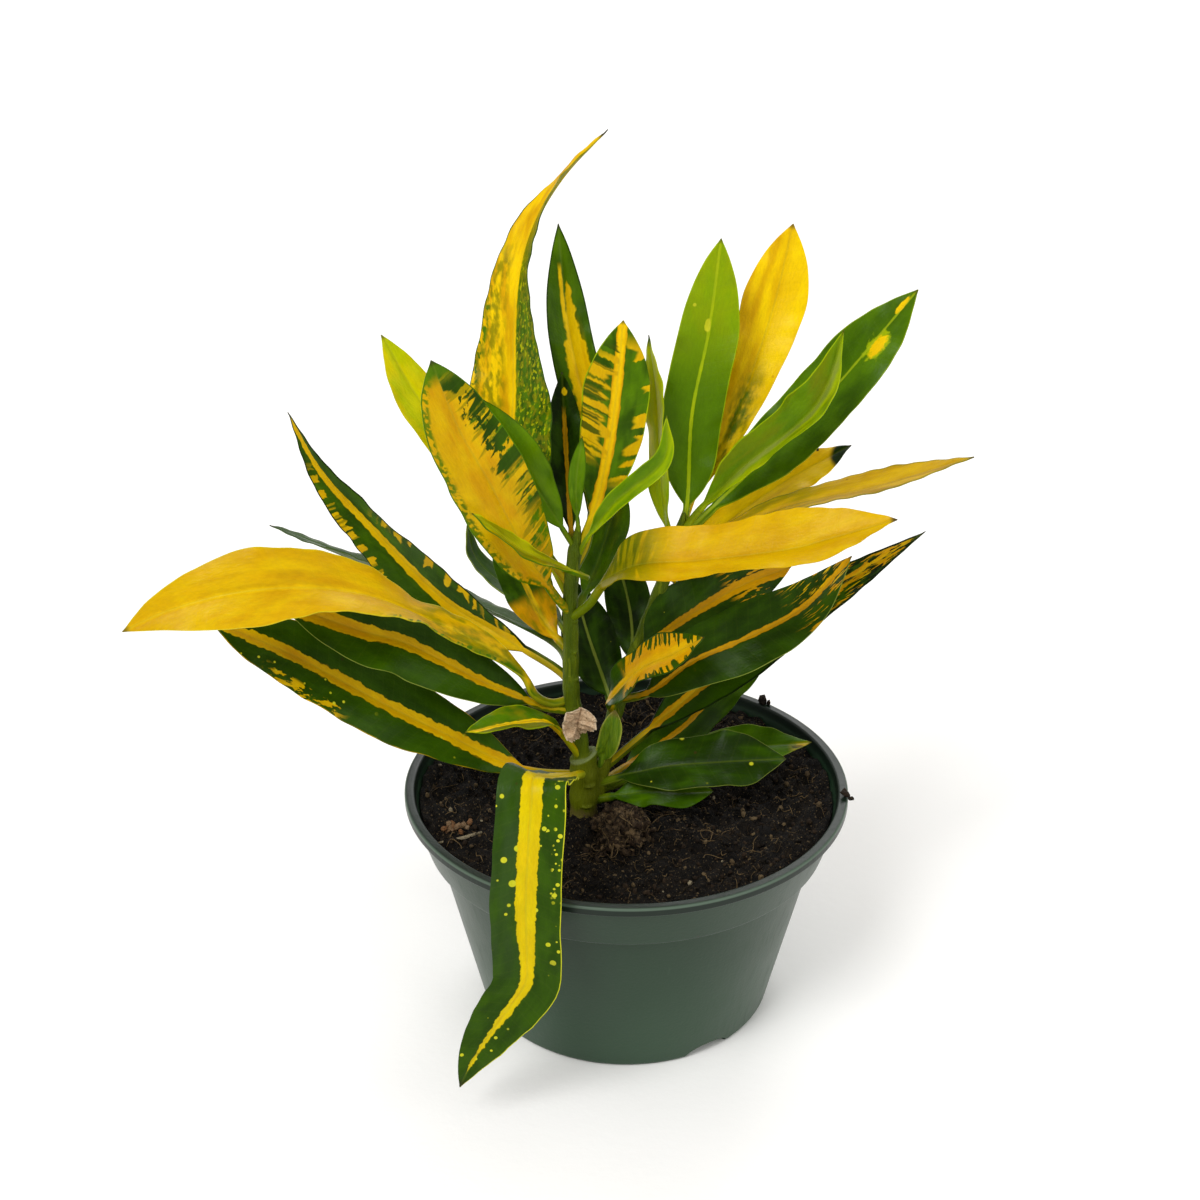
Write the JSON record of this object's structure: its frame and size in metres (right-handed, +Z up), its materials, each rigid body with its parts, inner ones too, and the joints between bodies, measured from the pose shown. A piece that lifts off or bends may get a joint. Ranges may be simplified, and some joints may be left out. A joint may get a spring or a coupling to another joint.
{
  "type": "potted croton",
  "caption": "Young narrow-leaved croton with variegated green and yellow leaves on two shoots, growing in a round tapered nursery pot.",
  "frame": {"origin": "centre of the pot's flat underside", "axes": "+Z up; -Y towards the plant's front, the side in the picture; +X to the right as seen from the front"},
  "size_m": [0.1984, 0.1201, 0.2274],
  "materials": {
    "pot_plastic": "satin",
    "potting_soil": "matte",
    "wood_fibre": "matte",
    "stem_green": "satin",
    "dried_leaf": "matte",
    "leaf_yellow": "satin",
    "leaf_blotched": "satin",
    "leaf_dark_striped": "satin",
    "leaf_dark_plain": "satin",
    "leaf_green": "satin",
    "leaf_lime": "satin"
  },
  "bodies": {
    "root": {"pot": "pot_plastic", "soil": "potting_soil", "woody_lump": "wood_fibre", "stems": "stem_green", "dried_stub": "dried_leaf", "bract": "stem_green", "leaf_left_long_yellow": "leaf_yellow", "leaf_left_upper_dark": "leaf_dark_striped", "leaf_left_back_thin": "leaf_dark_plain", "leaf_left_lowest_dark": "leaf_dark_striped", "leaf_left_middle_dark": "leaf_dark_striped", "leaf_front_hanging": "leaf_dark_striped", "leaf_front_small_olive": "leaf_lime", "leaf_head_broad_blotched": "leaf_blotched", "leaf_head_crossing_lime": "leaf_lime", "leaf_head_dark_sickle": "leaf_dark_plain", "leaf_head_back_lime": "leaf_lime", "leaf_head_tallest": "leaf_blotched", "leaf_head_back_green": "leaf_blotched", "leaf_head_small_dark": "leaf_dark_striped", "leaf_head_centre_blotched": "leaf_blotched", "leaf_head_young_left": "leaf_green", "leaf_head_bud": "leaf_green", "leaf_head_young_right": "leaf_green", "leaf_head_back_right": "leaf_dark_plain", "leaf_head_back_orange": "leaf_blotched", "leaf_right_front_yellow": "leaf_yellow", "leaf_right_olive_edge": "leaf_lime", "leaf_right_tall_green": "leaf_green", "leaf_right_tall_yellow": "leaf_yellow", "leaf_right_outer_green": "leaf_green", "leaf_right_folded_lime": "leaf_lime", "leaf_right_thin_yellow": "leaf_yellow", "leaf_right_back_tipped": "leaf_yellow", "leaf_low_dark_upper": "leaf_dark_striped", "leaf_low_dark_middle": "leaf_dark_striped", "leaf_low_dark_long": "leaf_dark_striped", "leaf_low_dark_lower": "leaf_dark_striped", "leaf_low_comb_yellow": "leaf_blotched", "leaf_low_green_front": "leaf_dark_plain", "leaf_low_green_back": "leaf_green", "leaf_low_green_under": "leaf_green", "leaf_behind_dark_left": "leaf_dark_plain", "leaf_behind_dark_right": "leaf_dark_plain"}
  },
  "joints": []
}
